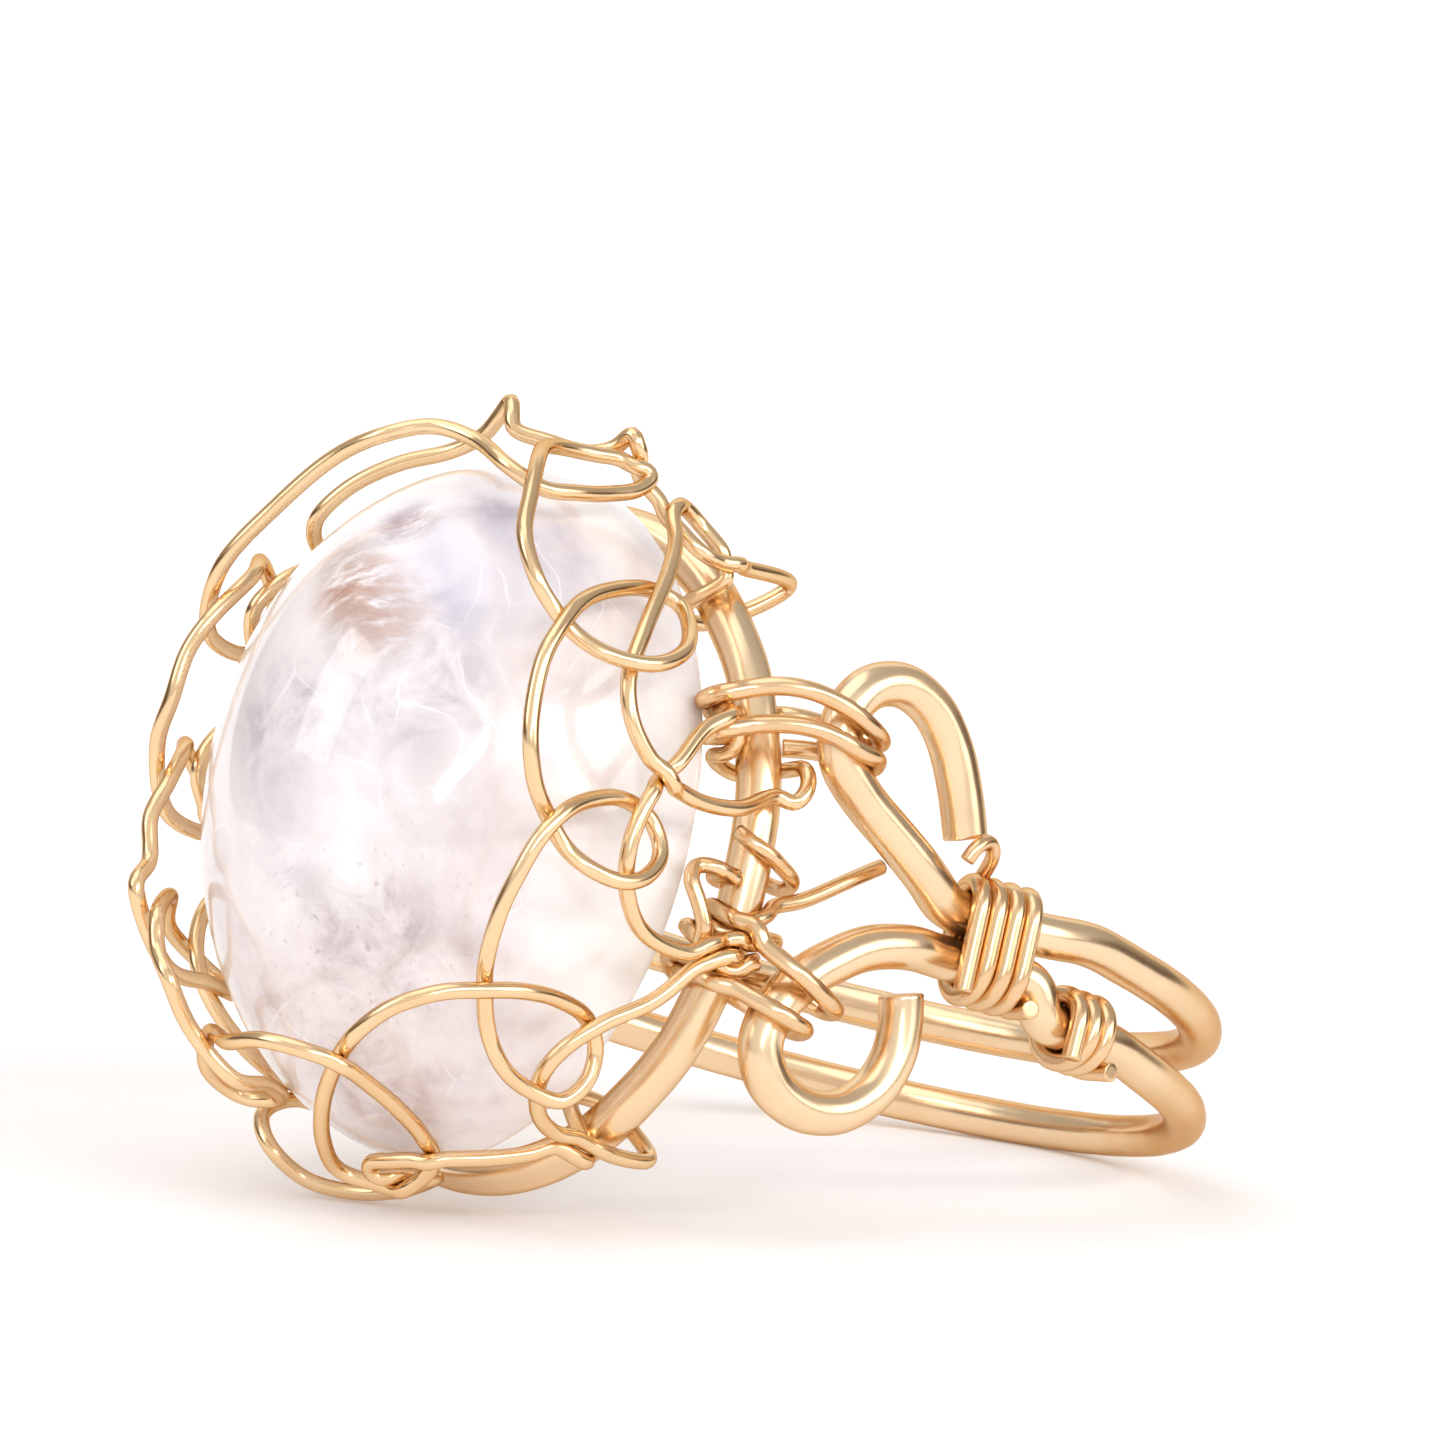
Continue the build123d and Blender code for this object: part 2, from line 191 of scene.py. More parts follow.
# ---------------------------------------------------------------- meshes
def make_mesh(name, verts_mm, faces, along=None, material=None, smooth=True):
    mesh = bpy.data.meshes.new(name)
    mesh.from_pydata(world(verts_mm).tolist(), [], faces)
    mesh.validate()
    mesh.update()
    ring = mesh.attributes.new("ring_mm", "FLOAT_VECTOR", "POINT")
    ring.data.foreach_set("vector", np.asarray(verts_mm, np.float32).ravel())
    if along is not None:
        a = mesh.attributes.new("along_mm", "FLOAT_VECTOR", "POINT")
        a.data.foreach_set("vector", np.asarray(along, np.float32).ravel())
    for p in mesh.polygons:
        p.use_smooth = smooth
    obj = bpy.data.objects.new(name, mesh)
    bpy.context.scene.collection.objects.link(obj)
    if material:
        mesh.materials.append(material)
    return obj


def tube(name, paths, diameter, material, sides=20, closed=False, ends="cut", swell=0.0, seed=3):
    """One mesh of one or more round wires; paths are in ring-frame millimetres."""
    verts, faces, along = [], [], []
    rng = np.random.default_rng(seed)
    if isinstance(paths, np.ndarray):
        paths = [paths]
    for path in paths:
        n = len(path)
        r0 = diameter / 2
        if closed:
            tan = np.roll(path, -1, 0) - np.roll(path, 1, 0)
        else:
            tan = np.gradient(path, axis=0)
        tan /= np.linalg.norm(tan, axis=1)[:, None]
        s = np.concatenate([[0], np.cumsum(np.linalg.norm(np.diff(path, axis=0), axis=1))])
        radius = np.full(n, r0)
        if swell:
            ph = rng.uniform(0, 6.28, 3)
            radius *= 1 + swell * (np.sin(s * 2.1 + ph[0]) + 0.6 * np.sin(s * 5.3 + ph[1]) + 0.4 * np.sin(s * 0.7 + ph[2])) / 2
        side = unit(np.cross(tan[0], [0.31, 0.52, 0.79]))
        frames = []
        for i in range(n):
            side = side - tan[i] * (side @ tan[i])
            side /= np.linalg.norm(side)
            frames.append(side)
        frames = np.array(frames)
        twist = np.zeros(n)
        if closed:
            back = frames[-1] - tan[0] * (frames[-1] @ tan[0])
            back /= np.linalg.norm(back)
            angle = math.atan2(np.cross(back, frames[0]) @ tan[0], back @ frames[0])
            twist = angle * s / (s[-1] + np.linalg.norm(path[0] - path[-1]))
        rings = []
        if not closed:
            if ends == "cut":
                cap = [(-0.0, 0.55), (-0.0, 0.86), (0.02, 0.96)]
            else:
                cap = [(0.0, 0.2), (0.06, 0.55), (0.16, 0.8), (0.32, 0.95)]
            for off, k in cap:
                rings.append((path[0] + tan[0] * off * r0, frames[0], tan[0], radius[0] * k, 0.0, 0.0))
        for i in range(n):
            shift = 0.0
            if not closed and i == 0:
                shift = (0.08 if ends == "cut" else 0.6) * r0
            if not closed and i == n - 1:
                shift = -(0.08 if ends == "cut" else 0.6) * r0
            rings.append((path[i] + tan[i] * shift, frames[i], tan[i], radius[i], twist[i], s[i]))
        if not closed:
            for off, k in reversed(cap):
                rings.append((path[-1] - tan[-1] * off * r0, frames[-1], tan[-1], radius[-1] * k, 0.0, s[-1]))
        base = len(verts)
        ang = np.linspace(0, 2 * math.pi, sides, endpoint=False)
        for centre, u, t, r, tw, d in rings:
            v = np.cross(t, u)
            c = np.cos(ang + tw)[:, None] * u + np.sin(ang + tw)[:, None] * v
            verts.extend(centre + c * r)
            along.extend(np.stack([np.full(sides, d), ang * r0, np.full(sides, float(seed))], 1))
        m = len(rings)
        for i in range(m if closed else m - 1):
            j = (i + 1) % m
            for k in range(sides):
                l = (k + 1) % sides
                faces.append((base + i * sides + k, base + i * sides + l, base + j * sides + l, base + j * sides + k))
        if not closed:
            faces.append(tuple(base + k for k in reversed(range(sides))))
            faces.append(tuple(base + (m - 1) * sides + k for k in range(sides)))
    obj = make_mesh(name, np.array(verts), faces, np.array(along), material)
    return obj


# ---------------------------------------------------------------- materials
def nodes_of(name):
    mat = bpy.data.materials.new(name)
    mat.use_nodes = True
    nt = mat.node_tree
    for n in list(nt.nodes):
        nt.nodes.remove(n)
    out = nt.nodes.new("ShaderNodeOutputMaterial")
    bsdf = nt.nodes.new("ShaderNodeBsdfPrincipled")
    nt.links.new(bsdf.outputs["BSDF"], out.inputs["Surface"])
    return mat, nt, bsdf


def add(nt, kind, **values):
    n = nt.nodes.new(kind)
    for k, v in values.items():
        if hasattr(n, k) and not isinstance(v, (tuple, list)) and k not in n.inputs:
            setattr(n, k, v)
        else:
            n.inputs[k.replace("_", " ")].default_value = v
    return n


def attribute(nt, name):
    n = nt.nodes.new("ShaderNodeAttribute")
    n.attribute_name = name
    return n


def mapping(nt, source, scale=(1, 1, 1), rotation=(0, 0, 0), location=(0, 0, 0)):
    m = nt.nodes.new("ShaderNodeMapping")
    m.inputs["Scale"].default_value = scale
    m.inputs["Rotation"].default_value = rotation
    m.inputs["Location"].default_value = location
    nt.links.new(source, m.inputs["Vector"])
    return m.outputs["Vector"]


def noise(nt, vector, scale, detail=3.0, rough=0.5, distortion=0.0):
    n = nt.nodes.new("ShaderNodeTexNoise")
    n.inputs["Scale"].default_value = scale
    n.inputs["Detail"].default_value = detail
    n.inputs["Roughness"].default_value = rough
    n.inputs["Distortion"].default_value = distortion
    nt.links.new(vector, n.inputs["Vector"])
    return n.outputs["Fac"]


def ramp(nt, fac, stops):
    n = nt.nodes.new("ShaderNodeValToRGB")
    el = n.color_ramp.elements
    while len(el) > 1:
        el.remove(el[-1])
    el[0].position, el[0].color = stops[0][0], (*stops[0][1], 1)
    for pos, col in stops[1:]:
        e = el.new(pos)
        e.color = (*col, 1)
    nt.links.new(fac, n.inputs["Fac"])
    return n.outputs["Color"]


def mix(nt, fac, a, b, mode="MIX"):
    n = nt.nodes.new("ShaderNodeMix")
    n.data_type = "RGBA"
    n.blend_type = mode
    for socket, value in ((n.inputs[0], fac), (n.inputs[6], a), (n.inputs[7], b)):
        if isinstance(value, bpy.types.NodeSocket):
            nt.links.new(value, socket)
        else:
            socket.default_value = value if not isinstance(value, tuple) else (*value, 1)
    return n.outputs[2]


def math_node(nt, op, a, b=None, clamp=False):
    n = nt.nodes.new("ShaderNodeMath")
    n.operation = op
    n.use_clamp = clamp
    for i, v in enumerate((a, b)):
        if v is None:
            continue
        if isinstance(v, bpy.types.NodeSocket):
            nt.links.new(v, n.inputs[i])
        else:
            n.inputs[i].default_value = v
    return n.outputs[0]


def gold(name, light, deep, rough, seed, bumps=0.05):
    mat, nt, bsdf = nodes_of(name)
    bsdf.inputs["Metallic"].default_value = 1.0
    bsdf.inputs["Specular Tint"].default_value = (0.68, 0.48, 0.31, 1)
    ring = attribute(nt, "ring_mm").outputs["Vector"]
    along = attribute(nt, "along_mm").outputs["Vector"]
    tone = noise(nt, mapping(nt, ring, location=(seed, 0, 0)), 0.55, 2.0, 0.6)
    colour = mix(nt, tone, deep, light)
    # faint draw lines run with the wire
    lines = noise(nt, mapping(nt, along, scale=(0.35, 9.0, 1.0)), 1.0, 1.0, 0.6)
    marks = noise(nt, mapping(nt, ring, location=(0, seed, 0)), 2.6, 2.0, 0.65)
    colour = mix(nt, math_node(nt, "MULTIPLY", lines, 0.22), colour, tuple(c * 0.82 for c in deep))
    nt.links.new(colour, bsdf.inputs["Base Color"])
    r = math_node(nt, "MULTIPLY_ADD", marks, 0.10)
    n = r.node
    n.inputs[2].default_value = rough - 0.05
    nt.links.new(r, bsdf.inputs["Roughness"])
    if bumps:
        bump = nt.nodes.new("ShaderNodeBump")
        bump.inputs["Strength"].default_value = bumps
        bump.inputs["Distance"].default_value = 0.00002
        nt.links.new(marks, bump.inputs["Height"])
        nt.links.new(bump.outputs["Normal"], bsdf.inputs["Normal"])
    return mat


gold_heavy = gold("gold_heavy", (0.98, 0.795, 0.54), (0.90, 0.64, 0.385), 0.24, 3.0)
# the binding wire is the same gold made darker and warmer: painted shade for the coils and ties set among the heavy
# wires
gold_wrap_shaded = gold("gold_wrap_shaded", (0.93, 0.70, 0.43), (0.80, 0.52, 0.285), 0.23, 11.0)
gold_net = gold("gold_net", (0.96, 0.745, 0.46), (0.86, 0.585, 0.32), 0.21, 23.0, 0.0)


def patch(nt, ring, centre, radius, soft=1.0):
    """1 at a place on the stone, falling to 0 at radius."""
    n = nt.nodes.new("ShaderNodeVectorMath")
    n.operation = "DISTANCE"
    nt.links.new(ring, n.inputs[0])
    n.inputs[1].default_value = centre
    m = nt.nodes.new("ShaderNodeMapRange")
    m.interpolation_type = "SMOOTHERSTEP"
    m.inputs["From Min"].default_value = radius
    m.inputs["From Max"].default_value = radius * (1 - soft)
    nt.links.new(n.outputs["Value"], m.inputs["Value"])
    return m.outputs["Result"]


def turned(nt, vector, rotation, scale):
    """Turned first and stretched after, so that the pattern runs along a chosen way."""
    return mapping(nt, mapping(nt, vector, rotation=rotation), scale=scale)


def moonstone_material():
    mat, nt, bsdf = nodes_of("moonstone_milky")
    ring = attribute(nt, "ring_mm").outputs["Vector"]
    warp = nt.nodes.new("ShaderNodeTexNoise")
    warp.inputs["Scale"].default_value = 0.45
    warp.inputs["Detail"].default_value = 1.0
    nt.links.new(ring, warp.inputs["Vector"])
    shifted = nt.nodes.new("ShaderNodeVectorMath")
    shifted.operation = "MULTIPLY_ADD"
    nt.links.new(warp.outputs["Color"], shifted.inputs[0])
    shifted.inputs[1].default_value = (1.5, 1.5, 1.5)
    nt.links.new(ring, shifted.inputs[2])
    v = shifted.outputs["Vector"]
    cloud = noise(nt, v, 0.34, 4.0, 0.62)
    colour = ramp(
        nt,
        cloud,
        [
            (0.32, (0.72, 0.67, 0.71)),
            (0.43, (0.83, 0.79, 0.82)),
            (0.52, (0.91, 0.875, 0.895)),
            (0.62, (0.98, 0.955, 0.965)),
        ],
    )
    # a faint rosy haze over the left two thirds: partly the stone's cloudy colour, partly painted shade, that side
    # kept darker than the lit-through right
    haze_and_shade = math_node(nt, "MULTIPLY", patch(nt, ring, (0.0, -1.2, 8.4), 8.4, 0.75), 0.55)
    colour = mix(nt, haze_and_shade, colour, (0.84, 0.765, 0.77))
    # grey clouds deeper in the stone, each at its place
    grain = noise(nt, v, 1.1, 4.0, 0.70)
    lumps = ramp(nt, grain, [(0.34, (0.25, 0.25, 0.25)), (0.50, (0.62, 0.62, 0.62)), (0.62, (1, 1, 1))])
    for centre, reach, strength, shade in (
        ((-0.7, -1.2, 8.5), 2.9, 1.00, (0.45, 0.415, 0.46)),
        ((1.7, -0.9, 8.3), 2.8, 0.85, (0.58, 0.54, 0.58)),
        ((3.7, 1.5, 6.9), 3.1, 1.00, (0.45, 0.375, 0.39)),
        ((6.2, 0.7, 5.1), 2.8, 1.00, (0.52, 0.40, 0.385)),
        ((-1.7, 1.3, 7.9), 3.5, 1.00, (0.42, 0.385, 0.435)),
        ((-3.4, 1.4, 7.5), 2.8, 1.00, (0.45, 0.425, 0.51)),
        ((0.5, 2.7, 7.2), 2.8, 0.80, (0.66, 0.60, 0.62)),
        ((-5.4, 1.8, 6.0), 3.0, 0.90, (0.50, 0.47, 0.55)),
        ((4.8, -1.5, 7.0), 2.8, 0.75, (0.62, 0.53, 0.53)),
    ):
        share = math_node(nt, "MULTIPLY", math_node(nt, "MULTIPLY", patch(nt, ring, centre, reach), lumps), strength, True)
        colour = mix(nt, share, colour, shade)
    # the painted bluish sheen under the crown's upper end, laid into the colour as a fixed patch
    painted_sheen = math_node(nt, "MULTIPLY", patch(nt, ring, (-5.1, 1.5, 6.3), 3.4), 0.75)
    colour = mix(nt, painted_sheen, colour, (0.60, 0.595, 0.72))
    # white veils run slantwise across the dome
    veil = noise(nt, turned(nt, v, (0.0, 0.0, -0.50), (0.16, 0.75, 0.60)), 0.62, 2.0, 0.45, 0.1)
    veils = ramp(nt, veil, [(0.47, (0, 0, 0)), (0.57, (0.45, 0.45, 0.45)), (0.63, (0.32, 0.32, 0.32)), (0.72, (0, 0, 0))])
    colour = mix(nt, veils, colour, (0.97, 0.935, 0.94))
    # thin healed cracks
    cells = nt.nodes.new("ShaderNodeTexVoronoi")
    cells.feature = "DISTANCE_TO_EDGE"
    cells.inputs["Scale"].default_value = 0.62
    nt.links.new(turned(nt, v, (0.2, 0.3, 0.9), (1.0, 0.45, 1.0)), cells.inputs["Vector"])
    thin = ramp(nt, cells.outputs["Distance"], [(0.0, (1, 1, 1)), (0.022, (0, 0, 0))])
    where = ramp(nt, noise(nt, v, 0.42, 1.0, 0.6), [(0.49, (0, 0, 0)), (0.62, (0.55, 0.55, 0.55))])
    colour = mix(nt, mix(nt, 1.0, thin, where, "MULTIPLY"), colour, (1.0, 0.99, 1.0))
    # brown and dark stains near the upper end, the brown one streaky
    streak = noise(nt, turned(nt, v, (0.0, 0.0, 0.95), (0.8, 1.9, 1.0)), 1.0, 4.0, 0.72)
    streaks = ramp(nt, streak, [(0.38, (0, 0, 0)), (0.52, (0.75, 0.75, 0.75)), (0.62, (1, 1, 1))])
    for centre, reach, strength, shade in (
        ((-3.9, -0.6, 7.8), 1.7, 0.95, (0.46, 0.23, 0.14)),
        ((-3.2, 0.4, 8.0), 1.9, 0.90, (0.48, 0.32, 0.27)),
        ((-4.6, -1.5, 7.3), 1.2, 0.60, (0.52, 0.36, 0.30)),
        ((-5.7, -0.4, 6.7), 1.3, 1.00, (0.40, 0.30, 0.36)),
        ((-6.4, 1.0, 5.6), 1.1, 0.60, (0.48, 0.43, 0.55)),
    ):
        share = math_node(nt, "MULTIPLY", math_node(nt, "MULTIPLY", patch(nt, ring, centre, reach), streaks), strength, True)
        colour = mix(nt, share, colour, shade)
    # small dark grains in the clouds
    grit = ramp(nt, noise(nt, v, 5.5, 1.0, 0.6), [(0.27, (1, 1, 1)), (0.34, (0, 0, 0))])
    spots = math_node(nt, "MULTIPLY", patch(nt, ring, (3.6, 1.0, 7.0), 4.6), grit)
    colour = mix(nt, math_node(nt, "MULTIPLY", spots, 0.5, True), colour, (0.42, 0.34, 0.36))
    # painted light: the right part of the dome made nearly white, as if lit through from that side
    painted_right_light = math_node(nt, "MULTIPLY", patch(nt, ring, (2.6, 6.2, 2.0), 6.2), 0.92)
    colour = mix(nt, painted_right_light, colour, (1.0, 0.985, 0.98))
    nt.links.new(colour, bsdf.inputs["Base Color"])
    bsdf.inputs["Roughness"].default_value = 0.20
    bsdf.inputs["IOR"].default_value = 1.45
    bsdf.inputs["Subsurface Weight"].default_value = 0.55
    bsdf.inputs["Subsurface Radius"].default_value = (1.0, 0.90, 0.95)
    bsdf.inputs["Subsurface Scale"].default_value = 0.0011
    bsdf.inputs["Coat Weight"].default_value = 0.9
    bsdf.inputs["Coat Roughness"].default_value = 0.05
    bsdf.inputs["Coat IOR"].default_value = 1.55
    return mat


stone_mat = moonstone_material()

# ---------------------------------------------------------------- shank
SHANK_DRIFT = (
    (94.0, 0.93), (108.0, 1.10), (124.0, 1.22), (140.0, 1.24), (156.0, 1.16), (172.0, 1.00),
    (188.0, 0.80), (204.0, 0.60), (220.0, 0.40), (236.0, 0.22), (252.0, 0.08), (266.0, 0.00),
)
NEAR_DRIFT, FAR_DRIFT = 0.31, -0.20
COIL_ANGLE, NECK_ANGLE = 60.0, 75.5
COIL_RUN, NECK_RUN, NECK_DRIFT, HOLD = 1.30, 1.15, 0.32, 0.42
COIL_TURNS, NECK_TURNS, COIL_PITCH = 4, 3, 0.45
SLOPE_T, SLOPE_N = -0.311, 0.950
COIL_T = SHANK_R * math.sin(math.radians(COIL_ANGLE))
COIL_N = SHANK_N + SHANK_R * math.cos(math.radians(COIL_ANGLE))
FAR_SHIFT = -0.51


def on_shank(angle, f, lift=0.0):
    a, reach = math.radians(angle), SHANK_R + lift
    return np.array([f, reach * math.sin(a), SHANK_N + reach * math.cos(a)])


def tangent_at(angle, side):
    a = math.radians(angle)
    return np.array([0, side * math.cos(a), -math.sin(a)])


def outward_at(angle, side):
    a = math.radians(angle)
    return np.array([0, side * math.sin(a), math.cos(a)])


def coil_axis(side, wire, along):
    angle = COIL_ANGLE if side > 0 else 360 - COIL_ANGLE
    drift = NEAR_DRIFT if side > 0 else FAR_DRIFT
    return on_shank(angle, drift + wire * SHOULDER_STEP / 2) + tangent_at(COIL_ANGLE, side) * along


def neck_axis(side, wire, along):
    angle = NECK_ANGLE if side > 0 else 360 - NECK_ANGLE
    drift = NEAR_DRIFT if side > 0 else FAR_DRIFT
    return on_shank(angle, drift + NECK_DRIFT + wire * STRAND_STEP / 2) + tangent_at(NECK_ANGLE, side) * along


def on_slope(side, f, climb, lift=0.0):
    t = COIL_T + climb * SLOPE_T + lift * SLOPE_N
    n = COIL_N + climb * SLOPE_N - lift * SLOPE_T
    return np.array([f, side * t, n])


TEARDROP = (  # F, climb
    (-0.72, 2.15), (-1.30, 3.15), (-1.95, 4.40), (-2.65, 5.30), (-3.62, 5.42), (-4.48, 4.85),
    (-4.80, 3.85), (-4.45, 2.85), (-3.70, 2.15), (-2.75, 1.65), (-1.85, 1.30),
)
SCROLL = (
    (0.88, 2.30), (1.20, 3.60), (2.22, 5.08), (3.16, 5.80), (4.05, 6.00), (4.80, 5.50),
    (5.15, 4.50), (4.97, 3.40), (4.20, 2.48), (3.20, 2.10), (2.25, 2.20), (1.98, 2.30),
)


def shank_run(wire):
    reaches = (-NECK_RUN, NECK_RUN) if wire > 0 else (0.0,)
    out = [coil_axis(1, wire, -COIL_RUN), coil_axis(1, wire, COIL_RUN)]
    out += [neck_axis(1, wire, a) for a in reaches]
    out += [on_shank(angle, drift + wire * STRAND_STEP / 2) for angle, drift in SHANK_DRIFT]
    out += [neck_axis(-1, wire, -a) for a in reaches]
    out += [coil_axis(-1, wire, COIL_RUN), coil_axis(-1, wire, -COIL_RUN)]
    return out


def shoulder_run(table, side):
    shift = 0.0 if side > 0 else FAR_SHIFT
    return [on_slope(side, f + shift, climb) for f, climb in table]


def strand(table, wire):
    pts = shoulder_run(table, 1)[::-1] + shank_run(wire) + shoulder_run(table, -1)
    straight = 4 if wire > 0 else 2
    first, last = len(table), len(table) + len(shank_run(wire)) - 1
    held = {i: HOLD for i in (*range(first, first + straight), *range(last - straight + 1, last + 1))}
    return wire_path(pts, sigma=0.16, step=0.10, held=held)


upper_path, lower_path = strand(TEARDROP, -1), strand(SCROLL, 1)
upper = tube("upper_wire", upper_path, HEAVY, gold_heavy, sides=36, swell=0.010, seed=5)
lower = tube("lower_wire", lower_path, HEAVY, gold_heavy, sides=36, swell=0.010, seed=6)
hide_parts("upper_strand")
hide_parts("lower_strand")

ring_pts = [
    (1.012 * FRAME_A * math.cos(2 * math.pi * i / 20), 1.012 * FRAME_B * math.sin(2 * math.pi * i / 20), 0)
    for i in range(20)
]
frame_path = wire_path(ring_pts, sigma=0.3, step=0.10, wander=0.012, reach=6.0, closed=True, seed=4)
base = tube("frame_wire", frame_path, HEAVY, gold_heavy, sides=36, closed=True, swell=0.010, seed=7)
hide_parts("base_frame")

# ---------------------------------------------------------------- moonstone
def stone():
    rows, around = 72, 160
    profile = [(0.0, 0.0), (STONE_A * 0.5, 0.0), (STONE_A - 0.62, 0.0)]
    # the foot's bevel, its edges eased
    profile += [(STONE_A - 0.50, 0.015), (STONE_A - 0.40, 0.08), (STONE_A - 0.10, 0.33), (STONE_A - 0.02, 0.41)]
    for i in range(rows + 1):
        a = 0.5 * math.pi * i / rows
        profile.append((STONE_A * math.cos(a), STONE_FOOT + (STONE_TALL - STONE_FOOT) * math.sin(a)))
    verts, faces = [], []
    verts.append((STONE_SHIFT_F, STONE_SHIFT_T, STONE_SEAT))
    body = profile[1:-1]
    for r, h in body:
        for k in range(around):
            a = 2 * math.pi * k / around
            verts.append(
                (
                    STONE_SHIFT_F + r * math.cos(a),
                    STONE_SHIFT_T + r * STONE_B / STONE_A * math.sin(a),
                    STONE_SEAT + h,
                )
            )
    verts.append((STONE_SHIFT_F, STONE_SHIFT_T, STONE_SEAT + STONE_TALL))
    top = len(verts) - 1
    for k in range(around):
        l = (k + 1) % around
        faces.append((0, 1 + l, 1 + k))
        for i in range(len(body) - 1):
            a, b = 1 + i * around, 1 + (i + 1) * around
            faces.append((a + k, a + l, b + l, b + k))
        a = 1 + (len(body) - 1) * around
        faces.append((a + k, a + l, top))
    return make_mesh("moonstone_cabochon", np.array(verts), faces, None, stone_mat)


gem = stone()
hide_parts("moonstone")

# ---------------------------------------------------------------- thin wires kept clear
THIN = []
FIXED = [(upper_path, HEAVY), (lower_path, HEAVY), (frame_path, HEAVY)]


def thin(name, node, path, diameter, material, closed=False, ends="cut", sides=16, seed=1):
    THIN.append({
        "name": name, "node": node, "path": path, "d": diameter, "material": material,
        "closed": closed, "ends": ends, "sides": sides, "seed": seed,
    })


def nearest(points, others, barred=None):
    """The nearest of the others for every point, and how far it is."""
    a, b = points.astype(np.float32), others.astype(np.float32)
    gap = (a * a).sum(1)[:, None] + (b * b).sum(1)[None] - 2 * a @ b.T
    if barred is not None:
        gap[barred] = 1e6
    k = gap.argmin(1)
    return k, np.linalg.norm(points - others[k], axis=1)


def aside(away, tangent, need):
    """A move square to the wire, away from what it cuts into."""
    square = away - (away * tangent).sum(1)[:, None] * tangent
    size = np.linalg.norm(square, axis=1)
    share = np.where(size > 1e-3, np.clip(need, 0, 0.12) / np.maximum(size, 1e-3), 0)
    return square * share[:, None]


def off_stone(path, keep):
    """The move that takes each point out of the stone."""
    foot = STONE_SEAT + STONE_FOOT
    half = np.array([STONE_A, STONE_B, STONE_TALL - STONE_FOOT])
    rel = path - np.array([STONE_SHIFT_F, STONE_SHIFT_T, foot])
    rel[:, 2] = np.maximum(rel[:, 2], 0)
    q = rel / half
    f = np.linalg.norm(q, axis=1) + 1e-9
    slope = q / half / f[:, None]
    size = np.linalg.norm(slope, axis=1) + 1e-9
    out = keep - (f - 1) / size
    down = keep - (STONE_SEAT - path[:, 2])
    move = slope / size[:, None] * np.clip(out, 0, 0.2)[:, None]
    under = (path[:, 2] < foot) & (down < out) & (out > 0)
    move[under] = 0
    move[under, 2] = -np.clip(down[under], 0, 0.2)
    return move


def spread(move, closed, step, sigma=0.13):
    r = max(1, int(3 * sigma / step))
    k = np.exp(-0.5 * (np.arange(-r, r + 1) * step / sigma) ** 2)
    k /= k.sum()
    if closed:
        padded = np.vstack([move[-r:], move, move[:r]])
    else:
        padded = np.vstack([np.repeat(move[:1], r, 0), move, np.repeat(move[-1:], r, 0)])
    return np.stack([np.convolve(padded[:, c], k, "valid") for c in range(3)], 1)


def ease_apart(wires, fixed, rounds=36):
    """Moves each thin wire off the stone, the fixed wires and the other thin ones."""
    for _ in range(rounds):
        everything = np.vstack([w["path"] for w in wires])
        widths = np.concatenate([np.full(len(w["path"]), w["d"]) for w in wires])
        moves, start = [], 0
        for w in wires:
            path, n, d = w["path"], len(w["path"]), w["d"]
            step = float(np.median(np.linalg.norm(np.diff(path, axis=0), axis=1)))
            t = np.roll(path, -1, 0) - np.roll(path, 1, 0) if w["closed"] else np.gradient(path, axis=0)
            t = t / np.linalg.norm(t, axis=1)[:, None]
            move = off_stone(path, d / 2 + 0.01)
            for axis, thick in fixed:
                k, dist = nearest(path, axis)
                move += aside(path - axis[k], t, (d + thick) / 2 + 0.01 - dist)
            i = np.arange(n)
            lag = np.abs(i[:, None] - i[None])
            if w["closed"]:
                lag = np.minimum(lag, n - lag)
            barred = np.zeros((n, len(everything)), bool)
            barred[:, start : start + n] = lag < 2.6 * d / step
            k, dist = nearest(path, everything, barred)
            move += 0.6 * aside(path - everything[k], t, (d + widths[k]) / 2 + 0.005 - dist)
            moves.append(spread(move, w["closed"], step))
            start += n
        for w, move in zip(wires, moves):
            w["path"] = w["path"] + move


# ---------------------------------------------------------------- coils and ties
CORNERS = ((1, 1), (-1, 1), (-1, -1), (1, -1))


def winding(first, second, across, stack, turns, pitch, slack=(GAP, GAP), seed=1, ease=0.02):
    rng = np.random.default_rng(seed)
    points = []
    for k in range(4 * turns + 1):
        a, b = CORNERS[k % 4]
        advance = (k / 4 - turns / 2) * pitch
        wire = second(advance) if a > 0 else first(advance)
        keep = HEAVY / 2 + WRAP / 2 + slack[1 if a > 0 else 0] + rng.uniform(0, ease)
        points.append(wire + across * (a * keep) + stack * (b * keep))
    return points


F_WAY = np.array([1.0, 0, 0])

# the two bindings on the near shoulder, from one cut end to the other
UPPER_TIE = (
    (-3.59, 4.59, -0.18), (-3.34, 4.32, 0.15), (-3.16, 4.69, 1.28), (-3.22, 5.25, 1.98), (-3.39, 5.63, 1.94), (-3.62, 5.96, 1.55),
    (-3.79, 6.55, 1.21), (-3.8, 7.12, 0.77), (-3.64, 7.57, 0.09), (-3.41, 7.76, -0.71), (-3.31, 7.48, -1.63), (-3.43, 6.79, -2.26),
    (-3.53, 6.24, -1.53), (-3.56, 5.51, -0.76), (-3.4, 4.59, -0.36), (-2.99, 4.31, 0.18), (-2.56, 4.7, 1.24), (-2.43, 5.29, 1.86),
    (-2.58, 5.68, 1.89), (-2.84, 6.0, 1.34), (-3.01, 6.65, 0.91), (-3.02, 7.21, 0.47), (-2.88, 7.63, -0.09), (-2.78, 7.7, -0.86),
    (-2.75, 7.36, -1.73), (-2.83, 6.71, -2.18), (-2.92, 6.08, -1.37), (-2.83, 5.43, -0.82),
)
